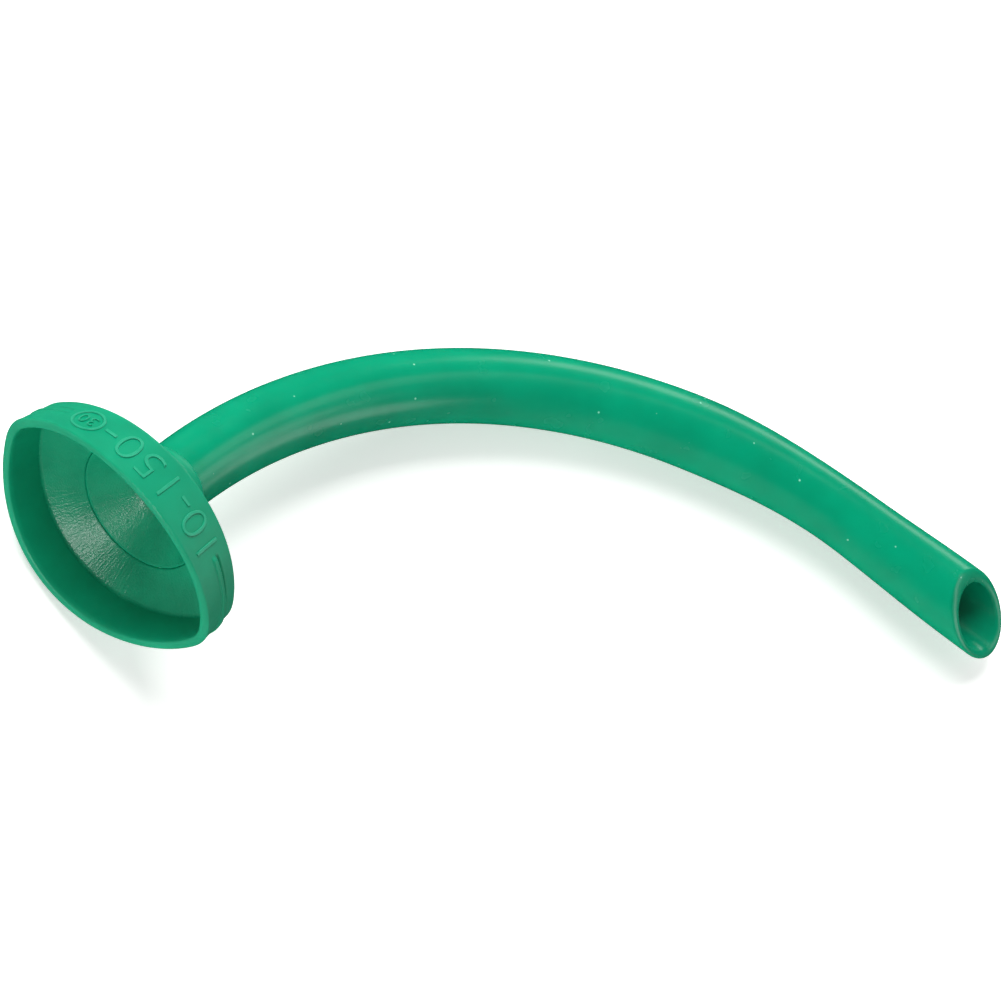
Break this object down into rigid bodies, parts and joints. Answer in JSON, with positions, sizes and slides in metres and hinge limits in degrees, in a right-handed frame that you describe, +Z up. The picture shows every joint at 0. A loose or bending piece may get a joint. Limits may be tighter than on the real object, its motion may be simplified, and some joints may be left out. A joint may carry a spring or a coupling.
{
  "type": "nasopharyngeal airway",
  "caption": "Preformed soft nasal airway: a curved tube with a side-bevelled tip, its flared root bonded into an oval cupped flange.",
  "frame": {"origin": "on the surface the airway lies on, under the middle of its bounding box", "axes": "+Z up from that surface, with the airway lying on the side of its flange and on the outside of its bend; +X in plan from the flange's rim into the root of the tube; the tube bends from +X towards -Y"},
  "size_m": [0.108, 0.1052, 0.0296],
  "materials": {
    "tube_pvc": "satin",
    "flange_pvc": "satin"
  },
  "bodies": {
    "root": {"airway_tube": "tube_pvc", "flange": "flange_pvc"}
  },
  "joints": []
}
